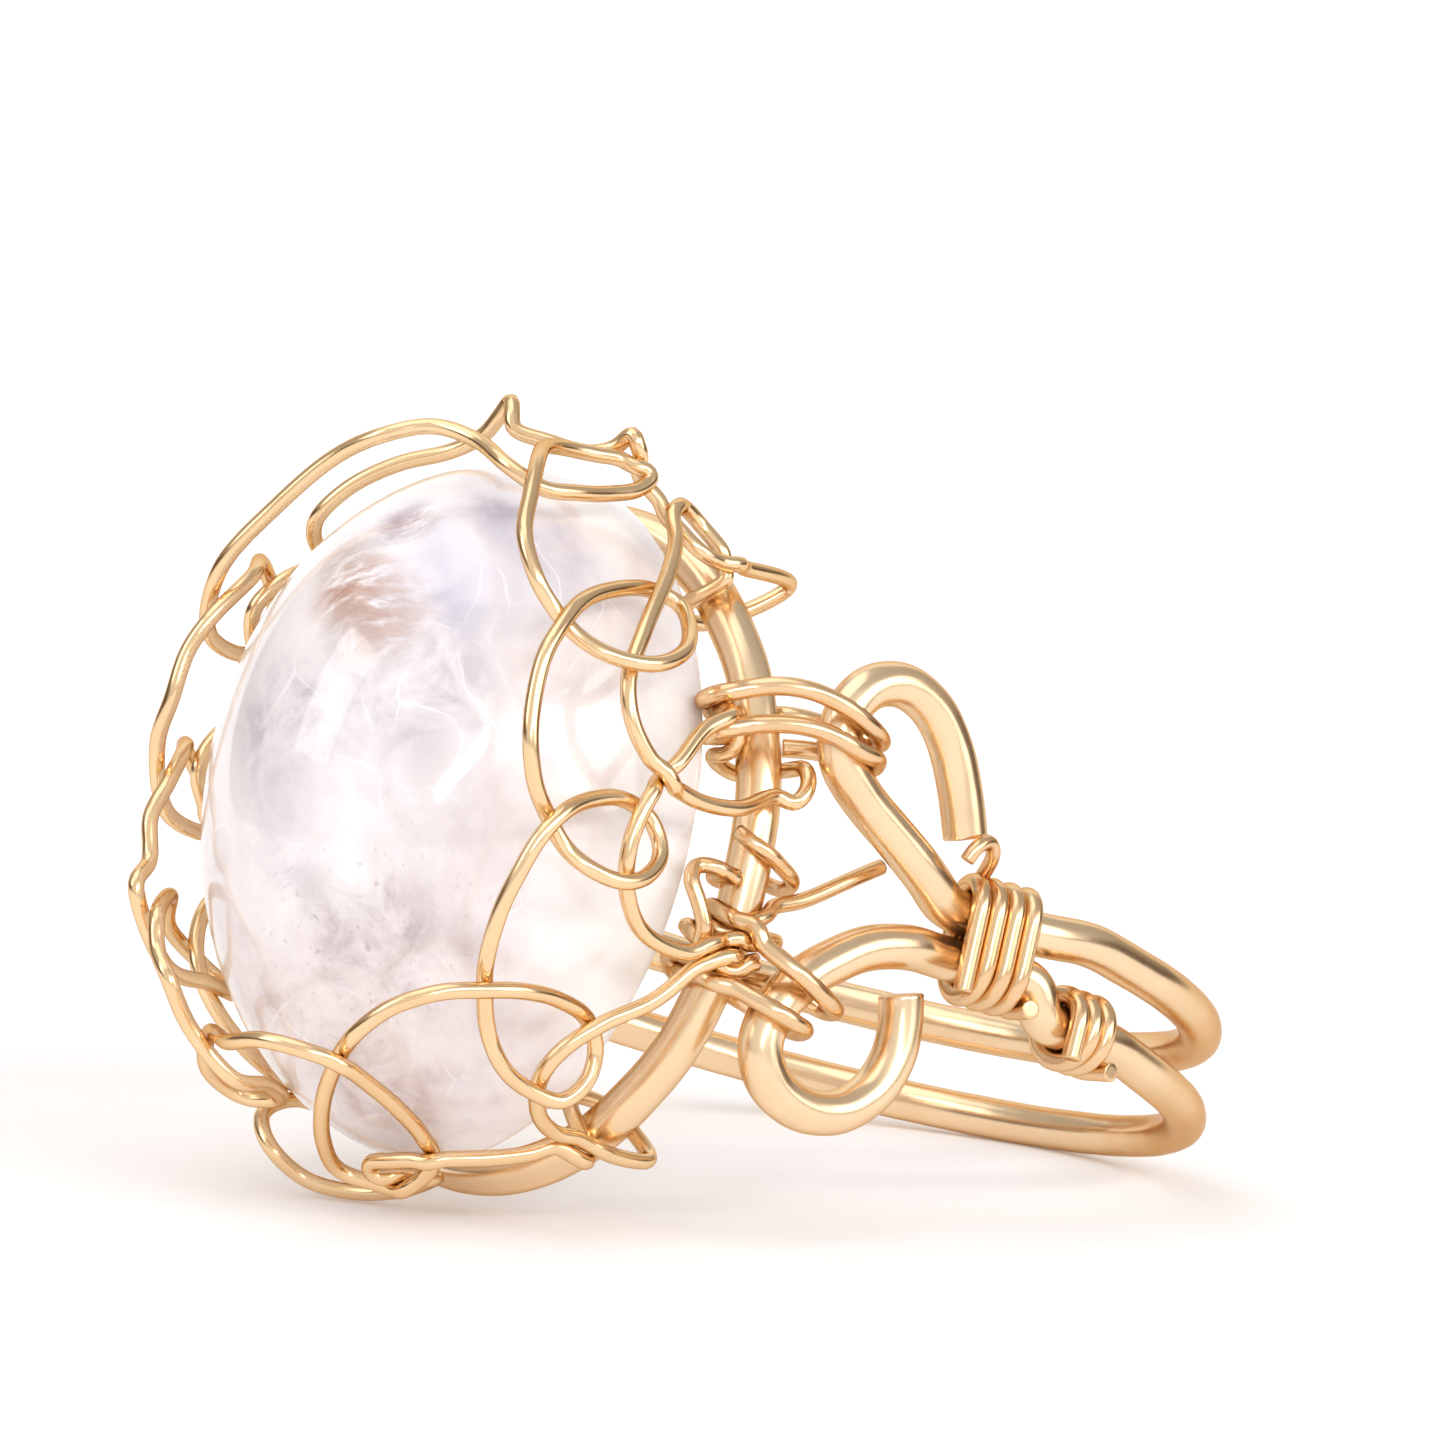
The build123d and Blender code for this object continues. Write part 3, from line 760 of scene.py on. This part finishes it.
LOWER_TIE = (
    (1.29, 5.0, -0.01), (1.33, 5.65, 0.75), (1.43, 6.02, 0.75), (1.84, 6.77, 0.54), (2.38, 7.62, 0.03), (2.73, 7.85, -0.82),
    (2.82, 7.59, -1.64), (2.74, 6.91, -2.14), (2.44, 6.19, -1.21), (2.37, 4.99, -0.95), (2.47, 4.78, -0.28), (2.65, 5.2, 0.67),
    (2.73, 5.82, 1.02), (2.92, 6.46, 0.7), (3.23, 7.24, 0.38), (3.43, 7.6, -0.21), (3.43, 7.29, -1.04), (3.37, 6.64, -1.46),
    (2.92, 5.63, -0.79), (2.59, 4.76, -0.56), (2.47, 5.01, 0.61), (2.39, 5.62, 1.16), (2.38, 6.04, 0.86), (2.17, 6.49, 0.11),
)


def far_side(points):
    """The same binding on the far shoulder."""
    return [(f + FAR_SHIFT, -t, n) for f, t, n in points]


for side, place in ((1, "near"), (-1, "far")):
    pts = winding(
        lambda s: coil_axis(side, -1, s), lambda s: coil_axis(side, 1, s),
        F_WAY, outward_at(COIL_ANGLE, side), COIL_TURNS, COIL_PITCH, seed=31,
    )
    FIXED.append((wire_path(pts, sigma=0.07, step=0.06, share=0.47), WRAP + 0.02))
    c = tube(f"coil_wire_{place}", FIXED[-1][0], WRAP + 0.02, gold_wrap_shaded, sides=20, seed=8 + side)
    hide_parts(f"coil_{place}")
    pts = winding(
        lambda s: neck_axis(side, 1, s), lambda s: neck_axis(side, 1, s),
        F_WAY, outward_at(NECK_ANGLE, side), NECK_TURNS, COIL_PITCH, seed=33,
    )
    FIXED.append((wire_path(pts, sigma=0.06, step=0.06, share=0.47), WRAP + 0.02))
    c = tube(f"neck_coil_wire_{place}", FIXED[-1][0], WRAP + 0.02, gold_wrap_shaded, sides=20, seed=12 + side)
    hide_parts(f"neck_coil_{place}")
    for table, name, seed in ((UPPER_TIE, "upper_tie", 16), (LOWER_TIE, "lower_tie", 20)):
        pts = table if side > 0 else far_side(table)
        thin(f"{name}_wire_{place}", f"{name}_{place}", smooth_through(pts, 0.06), WRAP, gold_wrap_shaded, sides=20, seed=seed + side)

# ---------------------------------------------------------------- net
WALL = np.array(
    [  # height, half F, half T, drift F, drift T
        (-4.0, 8.20, 6.30, -0.06, 0.00),
        (-1.2, 8.28, 6.46, -0.06, -0.06),
        (0.0, 8.36, 6.58, -0.08, -0.08),
        (2.5, 8.44, 6.62, -0.17, -0.27),
        (5.0, 8.00, 6.15, -0.30, -0.34),
        (6.8, 7.35, 5.45, -0.40, -0.34),
        (8.4, 6.75, 4.90, -0.45, -0.32),
        (9.5, 6.30, 4.50, -0.45, -0.30),
    ]
)


def on_wall(deg, height, out=0.0, run=0.0):
    a_, b_, cf, ct = (np.interp(height, WALL[:, 0], WALL[:, i]) for i in range(1, 5))
    a = math.radians(deg)
    a -= run / ((a_ * math.sin(a)) ** 2 + (b_ * math.cos(a)) ** 2) ** 0.5
    return np.array([cf + (a_ + out) * math.cos(a), ct + (b_ + out) * math.sin(a), height])


def round_frame(deg, e, n, run=0.0):
    a = math.radians(deg)
    a -= run / ((FRAME_A * math.sin(a)) ** 2 + (FRAME_B * math.cos(a)) ** 2) ** 0.5
    normal = unit([math.cos(a) / FRAME_A, math.sin(a) / FRAME_B, 0])
    return np.array([FRAME_A * math.cos(a) + e * normal[0], FRAME_B * math.sin(a) + e * normal[1], n])


RIM_NEAR = (  # turn angle, height, stand-off: the rim wire past the four near loops
    (143.0, 6.92, 0.12), (133.6, 7.45, 0.00), (124.6, 7.35, -0.10), (119.8, 6.96, -0.20),
    (114.2, 6.48, -0.10), (110.5, 6.00, 0.25), (110.3, 5.07, 0.40), (114.2, 4.08, 0.35), (120.9, 3.32, 0.00),
    (127.2, 3.04, -0.30), (129.2, 3.71, -0.40), (125.0, 5.35, -0.20), (119.3, 6.59, 0.15), (113.5, 7.26, 0.22),
    (108.2, 7.61, 0.15), (100.1, 7.69, 0.00), (93.0, 7.64, 0.00), (86.0, 7.20, -0.10), (82.1, 6.64, -0.20),
    (78.2, 6.15, -0.05), (76.7, 5.77, 0.30), (76.9, 5.04, 0.40), (79.4, 4.32, 0.30), (83.8, 3.84, 0.00),
    (88.4, 4.05, -0.30), (89.7, 4.83, -0.40), (87.2, 5.78, -0.20), (83.4, 6.59, 0.15), (77.7, 7.04, 0.22),
    (71.9, 7.13, 0.15), (64.1, 7.03, 0.00), (54.6, 6.63, -0.10), (49.6, 6.17, -0.20), (43.5, 5.50, -0.10),
    (41.1, 4.90, 0.20), (41.0, 4.04, 0.35), (42.5, 3.31, 0.40), (46.5, 2.93, 0.20), (51.1, 2.88, -0.20),
    (54.5, 3.40, -0.35), (55.4, 4.52, -0.20), (54.1, 5.66, 0.10), (50.6, 6.54, 0.22), (45.1, 7.29, 0.15),
    (35.4, 7.75, 0.00), (24.6, 7.67, -0.05), (13.6, 6.93, -0.20), (4.0, 6.02, -0.10), (-3.7, 4.71, 0.10),
    (-7.3, 3.35, 0.28), (-1.6, 2.92, 0.22), (6.5, 2.85, 0.16), (12.0, 3.04, -0.05), (14.7, 3.78, -0.30),
    (17.2, 5.10, -0.30), (18.2, 6.30, -0.05), (18.3, 7.51, 0.22), (12.3, 8.14, 0.15), (2.2, 8.34, 0.00),
    (-11.6, 7.87, 0.00),
)
RIM_FAR = (  # loop angle, crossing height, low end, half width, next arc
    (-28.0, 6.70, 3.90, 0.85, 7.60),
    (-57.0, 7.20, 3.20, 0.95, 6.90),
    (-86.0, 6.30, 3.50, 0.95, 6.80),
    (-117.0, 6.50, 3.70, 1.00, 6.75),
)
RIM_TOP = (  # the same as RIM_NEAR: along the top and round the flat loop
    (-168.0, 6.75, 0.00), (-178.0, 6.25, 0.08), (-190.0, 6.10, -0.10), (-203.0, 6.30, -0.18), (-210.5, 5.90, -0.20),
    (-212.0, 5.00, -0.15), (-211.0, 4.10, -0.05), (-210.0, 3.15, 0.20), (-208.0, 2.75, 0.45), (-204.5, 3.05, 0.50),
    (-201.0, 3.75, 0.30), (-200.0, 4.65, 0.22), (-202.0, 5.45, 0.28), (-206.5, 6.05, 0.30), (-212.0, 6.55, 0.22),
)
STITCH = (
    (-0.50, 1.07, -0.20), (0.85, 0.72, -0.16), (1.00, 0.36, 0.40), (0.50, 0.00, 0.32),
    (-0.50, 0.00, -0.30), (-1.00, 0.36, -0.40), (-0.85, 0.72, 0.14), (0.50, 1.07, 0.26),
)
rim = [on_wall(*row) for row in RIM_NEAR]
rng = np.random.default_rng(77)
for i, (loop, cross, low, half, high) in enumerate(RIM_FAR):
    following = RIM_FAR[i + 1][0] if i + 1 < len(RIM_FAR) else -176.0
    for run, level, out in STITCH:
        rim.append(on_wall(loop, low + (cross - low) * level, out + rng.normal(0, 0.03), run * half + rng.normal(0, 0.05)))
    for share in (0.36, 0.64):
        rim.append(on_wall(loop + (following - loop) * share, high + rng.normal(0, 0.08), 0))
rim += [on_wall(*row) for row in RIM_TOP]
rim_path = smooth_through(rim, 0.08, closed=True)
thin("rim_wire", "net_rim_row", rim_path, NET_SEEN, gold_net, closed=True, seed=51)

FOOT = HEAVY / 2 + NET / 2 + GAP
INSIDE_TURN = ((-0.08, -1.00, -1.00), (0.08, -1.00, 1.00), (0.24, 1.18, 1.03))
CROWN_ARC = ((0.20, 0.36, 0.10), (0.56, 0.84, 0.27))
CROWN_START = 1.0
BASE_ROW = (  # foot angle, reach, drop; crown angle, height; traced arc
    (143.0, 1.30, 3.00, 115.0, 5.05,
     ((147.5, 1.25, 0.2), (148.5, 1.90, 0.3), (146.0, 2.35, 0.15), (139.5, 2.75, 0.05), (130.3, 3.58, 0.0), (117.6, 4.80, 0.0),
      (108.1, 5.34, 0.0), (101.4, 5.21, 0.0), (96.0, 4.49, 0.0), (93.4, 3.36, 0.0), (94.6, 1.90, 0.05))),
    (None, 0.0, 0.0, 84.0, 4.45,
     ((108.2, 2.30, 0.1), (104.4, 3.09, 0.0), (98.0, 3.78, 0.0), (90.8, 4.49, 0.0), (82.8, 4.73, 0.0),
      (76.3, 4.43, 0.0), (71.7, 3.64, 0.0), (71.5, 2.31, 0.0), (74.5, 1.20, 0.05))),
    (77.0, 1.02, 1.00, 48.0, 3.90,
     ((73.5, 1.35, 0.10), (70.3, 1.75, 0.05), (63.1, 2.44, 0.0), (55.5, 3.41, 0.0), (48.2, 3.86, 0.0),
      (42.1, 3.75, 0.0), (36.3, 2.95, 0.0), (34.5, 1.60, 0.0))),
    (34.0, 1.10, 1.40, 17.0, 3.40,
     ((33.0, 1.70, 0.0), (28.5, 2.10, 0.0), (23.0, 2.75, 0.0), (14.1, 3.45, 0.0), (6.0, 3.62, 0.0), (1.2, 3.60, 0.02),
      (-0.6, 3.35, 0.12), (0.6, 3.05, 0.20), (5.0, 2.75, 0.05), (6.5, 2.20, -0.15))),
    (None, 0.0, 0.0, -23.0, 1.00, ()),
    (-40.0, 1.02, 1.00, -57.0, 4.20, None),
    (-80.0, 1.02, 1.00, -90.0, 4.40, None),
    (-106.0, 1.02, 1.00, -118.0, 4.50, None),
    (-134.0, 1.02, 1.00, -178.0, 4.15,
     ((-131.5, 2.30, 0.0), (-132.0, 3.70, 0.0), (-137.0, 4.55, 0.0), (-146.0, 4.55, 0.0), (-156.0, 4.20, -0.05), (-166.0, 3.80, -0.12),
      (-174.0, 3.80, 0.10), (-177.8, 3.90, 0.50), (-180.2, 3.98, 0.86), (-182.2, 4.15, 0.55), (-183.5, 4.15, 0.20),
      (-190.0, 3.75, 0.10), (-196.5, 3.25, 0.18), (-200.0, 3.05, 0.55), (-202.3, 3.10, 1.05), (-204.3, 3.00, 0.75),
      (-206.0, 2.65, 0.25), (-210.5, 2.25, 0.08), (-216.0, 2.15, 0.00), (-221.0, 1.75, 0.05))),
)
# where a stitch is caught on the frame by a longer way round than the others
LONG_WAY = {
    # round the near side of the frame, up behind it, out beside the binding
    1: tuple(round_frame(*v) for v in (
        (100.6, 0.74, 0.34), (99.8, 1.02, 0.06), (102.5, 1.16, -0.22), (106.0, 0.98, -0.42), (107.6, 0.20, -0.80),
        (107.2, -0.62, -0.50), (107.4, -0.80, 0.15), (109.0, -0.74, 0.80), (112.5, -0.52, 1.15), (116.0, -0.36, 1.30),
        (114.5, -0.08, 1.62))),
    # the long low arc that the ring's head rests on
    4: ((7.98, 0.15, 1.62), (8.26, -1.10, 1.10), (8.44, -2.30, 1.15), (8.34, -3.40, 1.60), (7.80, -4.03, 2.30), (7.10, -4.60, 2.10), (6.45, -4.75, 0.80)),
}
row_pts = []
for i, (foot, reach, drop, crown, high, traced) in enumerate(BASE_ROW):
    if foot is None:
        row_pts += [np.array(v, float) for v in LONG_WAY[i]]
    else:
        for run, e, n in ((-0.24, reach, -drop), *INSIDE_TURN):
            row_pts.append(round_frame(foot, e * FOOT, n * FOOT, run))
    if traced is not None:
        row_pts += [on_wall(*p) for p in traced]
        continue
    end = BASE_ROW[(i + 1) % len(BASE_ROW)][0]
    rise = high - CROWN_START
    for share, level, part in CROWN_ARC:
        row_pts.append(on_wall(foot + (crown - foot) * share, CROWN_START + rise * level))
    row_pts.append(on_wall(crown, high))
    for share, level, part in reversed(CROWN_ARC):
        row_pts.append(on_wall(end + (crown - end) * share, CROWN_START + rise * level))
base_path = smooth_through(row_pts, 0.08, closed=True)
thin("base_row_wire", "net_base_row", base_path, NET_SEEN, gold_net, closed=True, seed=52)

# wire ends and crossings round the near shoulder
TAILS = (
    ((1.60, 5.35, 0.78), (1.85, 5.75, 0.72), (0.95, 6.15, -0.25), (0.47, 6.42, -1.32), (-0.31, 6.78, -2.50), (-0.85, 6.95, -3.40)),
    ((-0.6, 5.67, 0.69), (-0.26, 6.16, 0.33), (0.02, 6.38, -0.51), (0.15, 6.16, -1.14), (0.25, 5.74, -1.46), (0.12, 5.19, -1.39), (-0.1, 4.88, -1.08)),
    ((2.44, 5.92, 1.36), (1.84, 5.93, 1.5), (1.23, 5.75, 1.72), (0.78, 5.55, 1.86), (0.43, 5.48, 1.59), (0.41, 5.83, 1.32), (0.54, 5.78, 0.36), (0.49, 5.23, -0.87)),
)
for t in TAILS:
    thin("binding_ends", None, smooth_through(t, 0.06), 0.36, gold_wrap_shaded, ends="round", seed=61)

ease_apart(THIN, FIXED)
built = {}
for w in THIN:
    if w["name"] in built:
        continue
    paths = [v["path"] for v in THIN if v["name"] == w["name"]]
    built[w["name"]] = tube(
        w["name"], paths, w["d"], w["material"], sides=w["sides"], closed=w["closed"], ends=w["ends"], seed=w["seed"]
    )
    if w["node"]:
        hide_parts(w["node"])
rim_wire, row_wire, tails = built["rim_wire"], built["base_row_wire"], built["binding_ends"]
hook = tube(
    "coil_hook", smooth_through(((-1.05, 8.30, -5.32), (-1.60, 8.84, -4.88), (-1.82, 8.92, -4.52), (-1.62, 8.88, -4.12), (-1.25, 8.76, -3.97)), 0.05),
    0.34, gold_wrap_shaded, sides=16, ends="cut", seed=62,
)

for piece in (upper, lower, base, gem, rim_wire, row_wire, tails, hook, *[
    o for o in bpy.data.objects if o.name.startswith(("coil_wire", "neck_coil_wire", "upper_tie_wire", "lower_tie_wire"))
]):
    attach(piece, "root")

# ---------------------------------------------------------------- surroundings
def sweep_backdrop():
    rows = [(-0.60, 0.0), (-0.2, 0.0), (0.10, 0.0)]
    r, y0 = 0.30, 0.10
    for i in range(1, 25):
        a = 0.5 * math.pi * i / 24
        rows.append((y0 + r * math.sin(a), r * (1 - math.cos(a))))
    rows.append((y0 + r, 0.7))
    wide = 0.30
    verts, faces = [], []
    for y, z in rows:
        verts += [(-wide, y, z), (wide, y, z)]
    for i in range(len(rows) - 1):
        faces.append((2 * i, 2 * i + 1, 2 * i + 3, 2 * i + 2))
    mesh = bpy.data.meshes.new("backdrop")
    mesh.from_pydata(verts, [], faces)
    for p in mesh.polygons:
        p.use_smooth = True
    obj = bpy.data.objects.new("backdrop", mesh)
    bpy.context.scene.collection.objects.link(obj)
    mat, nt, bsdf = nodes_of("backdrop_paper")
    bsdf.inputs["Base Color"].default_value = (0.905, 0.893, 0.903, 1)
    bsdf.inputs["Roughness"].default_value = 0.9
    bsdf.inputs["Specular IOR Level"].default_value = 0.1
    bsdf.inputs["Emission Color"].default_value = (1.0, 0.985, 0.985, 1)
    bsdf.inputs["Emission Strength"].default_value = 0.12
    # the paper turns into a lit white screen behind the ring
    screen = nt.nodes.new("ShaderNodeEmission")
    screen.inputs["Color"].default_value = (1.0, 0.99, 0.99, 1)
    screen.inputs["Strength"].default_value = 1.15
    tc = nt.nodes.new("ShaderNodeTexCoord")
    sep = nt.nodes.new("ShaderNodeSeparateXYZ")
    nt.links.new(tc.outputs["Object"], sep.inputs[0])
    glow = nt.nodes.new("ShaderNodeMapRange")
    glow.interpolation_type = "SMOOTHSTEP"
    glow.inputs["From Min"].default_value = 0.02
    glow.inputs["From Max"].default_value = 0.14
    nt.links.new(sep.outputs[1], glow.inputs["Value"])
    both = nt.nodes.new("ShaderNodeMixShader")
    nt.links.new(glow.outputs["Result"], both.inputs[0])
    nt.links.new(bsdf.outputs["BSDF"], both.inputs[1])
    nt.links.new(screen.outputs[0], both.inputs[2])
    out = next(n for n in nt.nodes if n.type == "OUTPUT_MATERIAL")
    nt.links.new(both.outputs[0], out.inputs["Surface"])
    mesh.materials.append(mat)
    return obj


sweep_backdrop()


def area(name, place, aim, size, power, colour=(1, 1, 1), roll=0.0):
    data = bpy.data.lights.new(name, "AREA")
    data.shape = "RECTANGLE"
    data.size, data.size_y = size
    data.energy = power
    data.color = colour
    obj = bpy.data.objects.new(name, data)
    bpy.context.scene.collection.objects.link(obj)
    obj.location = place
    turn = (Vector(aim) - Vector(place)).to_track_quat("-Z", "Y") @ Quaternion((0, 0, 1), math.radians(roll))
    obj.rotation_euler = turn.to_euler()
    return obj


CENTRE = (0.0, 0.0, 0.008)
area("top_soft", (-0.07, -0.03, 0.30), CENTRE, (0.28, 0.22), 0.205, (1.0, 0.985, 0.965))
area("left_soft", (-0.26, -0.12, 0.20), CENTRE, (0.14, 0.20), 0.21, (1.0, 0.985, 0.97))
# one long bent band of light: its reflection is the curved gleam on the dome
area("band_left", (0.062, -0.269, 0.108), CENTRE, (0.125, 0.024), 0.120, (1.0, 0.99, 0.985), 37.0)
area("band_right", (0.168, -0.197, 0.137), CENTRE, (0.158, 0.028), 0.150, (1.0, 0.99, 0.985), -5.0)
area("right_soft", (0.30, -0.12, 0.12), CENTRE, (0.18, 0.18), 0.24, (1.0, 0.99, 0.98))

w = bpy.data.worlds.new("room")
bpy.context.scene.world = w
w.use_nodes = True
nt = w.node_tree
for n in list(nt.nodes):
    nt.nodes.remove(n)
wo = nt.nodes.new("ShaderNodeOutputWorld")
bg = nt.nodes.new("ShaderNodeBackground")
tc = nt.nodes.new("ShaderNodeTexCoord")
sep = nt.nodes.new("ShaderNodeSeparateXYZ")
nt.links.new(tc.outputs["Generated"], sep.inputs[0])
level = math_node(nt, "MULTIPLY_ADD", sep.outputs[2], 0.5)
level.node.inputs[2].default_value = 0.5
up = ramp(
    nt, level, [
        (0.0, (0.20, 0.14, 0.10)), (0.50, (0.11, 0.07, 0.05)), (0.60, (0.13, 0.09, 0.065)),
        (0.68, (0.48, 0.45, 0.43)), (1.0, (0.55, 0.53, 0.52)),
    ],
)
# the side the picture is taken from is a broad white screen
front = nt.nodes.new("ShaderNodeMapRange")
front.interpolation_type = "SMOOTHSTEP"
front.inputs["From Min"].default_value = -0.30
front.inputs["From Max"].default_value = -0.70
nt.links.new(sep.outputs[1], front.inputs["Value"])
above = nt.nodes.new("ShaderNodeMapRange")
above.interpolation_type = "SMOOTHSTEP"
above.inputs["From Min"].default_value = -0.10
above.inputs["From Max"].default_value = 0.12
nt.links.new(sep.outputs[2], above.inputs["Value"])
screen = math_node(nt, "MULTIPLY", front.outputs["Result"], above.outputs["Result"])
sky = mix(nt, screen, up, (0.88, 0.86, 0.85))
nt.links.new(sky, bg.inputs["Color"])
bg.inputs["Strength"].default_value = 1.0
nt.links.new(bg.outputs[0], wo.inputs["Surface"])

scene = bpy.context.scene
scene.view_settings.view_transform = "Standard"
scene.view_settings.look = "None"
scene.view_settings.exposure = 0.0

# ---------------------------------------------------------------- camera
# picture axes in the ring's frame: right, down, into; the ring's origin falls at
# (540, 846) of 1445 x 1445
RIGHT = np.array([-0.1932, 0.8079, -0.5567])
DOWN = np.array([0.9691, 0.0684, -0.2370])
INTO = np.array([-0.1534, -0.5853, -0.7962])
FOCAL, DISTANCE = 6698.0, 151.2
place = -INTO * DISTANCE
look = unit(INTO + RIGHT * (722.5 - 540.0) / FOCAL + DOWN * (722.5 - 846.0) / FOCAL)
right = unit(RIGHT - look * (RIGHT @ look))
down = np.cross(look, right)
cam_data = bpy.data.cameras.new("camera")
cam_data.sensor_width = 36.0
cam_data.lens = FOCAL / 1445.0 * 36.0
cam_data.clip_start, cam_data.clip_end = 0.01, 20.0
cam = bpy.data.objects.new("camera", cam_data)
scene.collection.objects.link(cam)
m = np.eye(4)
m[:3, 0] = right @ AXES
m[:3, 1] = -(down @ AXES)
m[:3, 2] = -(look @ AXES)
m[:3, 3] = world(place)
cam.matrix_world = Matrix(m.tolist())
scene.camera = cam
